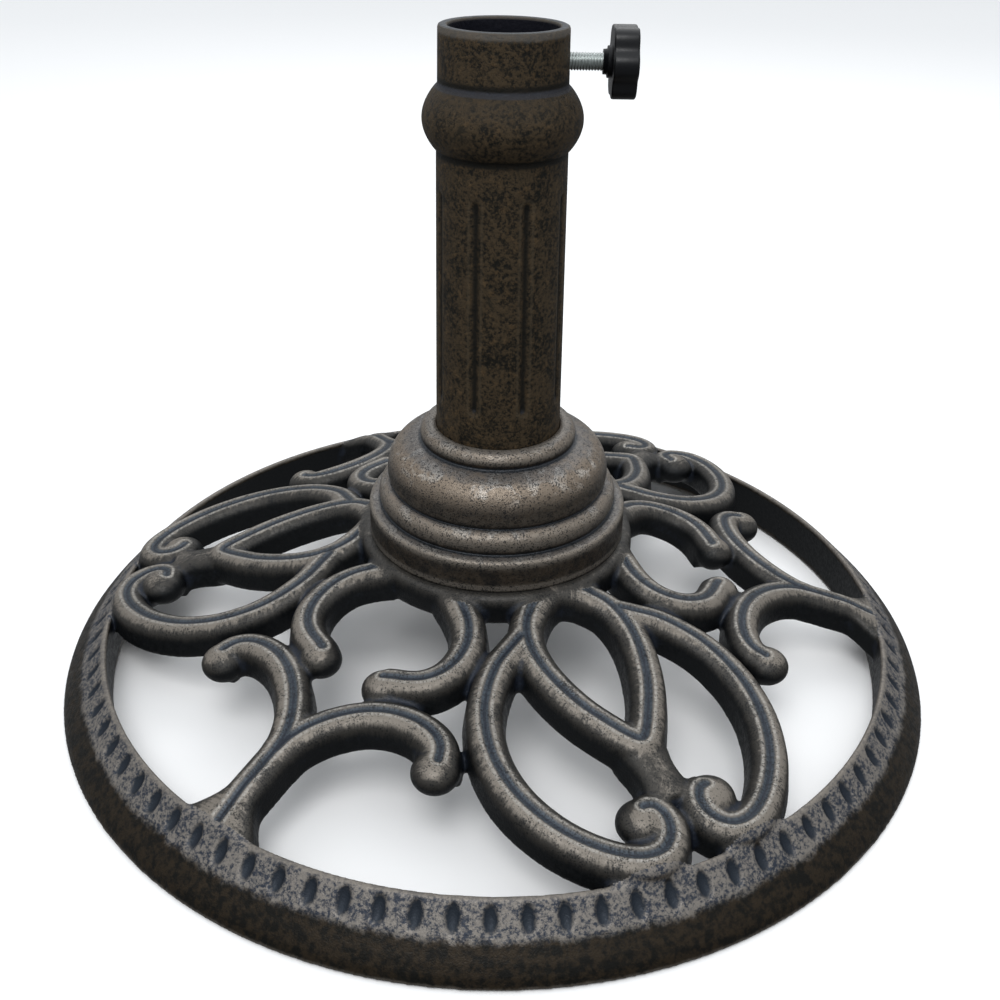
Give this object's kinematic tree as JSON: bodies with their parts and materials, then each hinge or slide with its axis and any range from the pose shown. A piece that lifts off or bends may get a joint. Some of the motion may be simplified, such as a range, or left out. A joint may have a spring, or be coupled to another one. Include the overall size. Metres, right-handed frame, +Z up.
{
  "type": "parasol base",
  "caption": "Round cast-iron parasol base with open scrollwork dome, fluted rim, moulded bell, fluted column and a side clamp screw.",
  "frame": {"origin": "centre of the base on the floor", "axes": "+Z up the column, +X towards the clamp knob, -Y the side the front is seen from"},
  "size_m": [0.457, 0.4568, 0.3184],
  "materials": {
    "rim_iron": "antique bronze paint, rubbed light on the ridges, blue-black in the grooves",
    "lens_iron": "antique bronze paint, rubbed light on the ridges, blue-black in the grooves",
    "loop_iron_right": "antique bronze paint, rubbed light on the ridges, blue-black in the grooves",
    "loop_iron_left": "antique bronze paint, rubbed light on the ridges, blue-black in the grooves",
    "branch_iron": "antique bronze paint, rubbed light on the ridges, blue-black in the grooves",
    "scroll_iron_right": "antique bronze paint, rubbed light on the ridges, blue-black in the grooves",
    "scroll_iron_left": "antique bronze paint, rubbed light on the ridges, blue-black in the grooves",
    "hub_iron": "antique bronze paint, rubbed light on the ridges, blue-black in the grooves",
    "bell_iron": "antique bronze paint, tan with dark speckle",
    "column_iron": "antique bronze paint, dark brown mottled with black",
    "zinc": "bright zinc-plated thread",
    "black_plastic": "black moulded plastic",
    "bolt_zinc": "zinc-plated steel",
    "flat_washer_zinc": "zinc-plated steel",
    "spring_washer_zinc": "zinc-plated steel",
    "nut_zinc": "zinc-plated steel"
  },
  "bodies": {
    "base": {"base_rim": "rim_iron", "tulip_lens_1": "lens_iron", "tulip_lens_2": "lens_iron", "tulip_lens_3": "lens_iron", "tulip_loop_right_1": "loop_iron_right", "tulip_loop_right_2": "loop_iron_right", "tulip_loop_right_3": "loop_iron_right", "tulip_loop_left_1": "loop_iron_left", "tulip_loop_left_2": "loop_iron_left", "tulip_loop_left_3": "loop_iron_left", "branch_1": "branch_iron", "branch_2": "branch_iron", "branch_3": "branch_iron", "hub_scroll_right_1": "scroll_iron_right", "hub_scroll_right_2": "scroll_iron_right", "hub_scroll_right_3": "scroll_iron_right", "hub_scroll_left_1": "scroll_iron_left", "hub_scroll_left_2": "scroll_iron_left", "hub_scroll_left_3": "scroll_iron_left", "hub_disc": "hub_iron", "bell_cover": "bell_iron", "column": "column_iron", "centre_bolt": "bolt_zinc", "flat_washer": "flat_washer_zinc", "spring_washer": "spring_washer_zinc", "captive_nut": "nut_zinc"},
    "stud": {"clamp_stud": "zinc"},
    "knob": {"clamp_knob": "black_plastic"}
  },
  "joints": [
    {"name": "screw_travel", "type": "slide", "parent": "base", "child": "stud", "axis": [-1, 0, 0], "range_m": [0, 0.0095]},
    {"name": "knob_turn", "type": "hinge", "parent": "stud", "child": "knob", "pos_m": [0.0511, 0, 0.3028], "axis": [-1, 0, 0], "range_deg": [0, 2740]}
  ],
  "couplings": [
    {"joint": "knob_turn", "follows": "screw_travel", "rad_per_m": 5026.5}
  ]
}
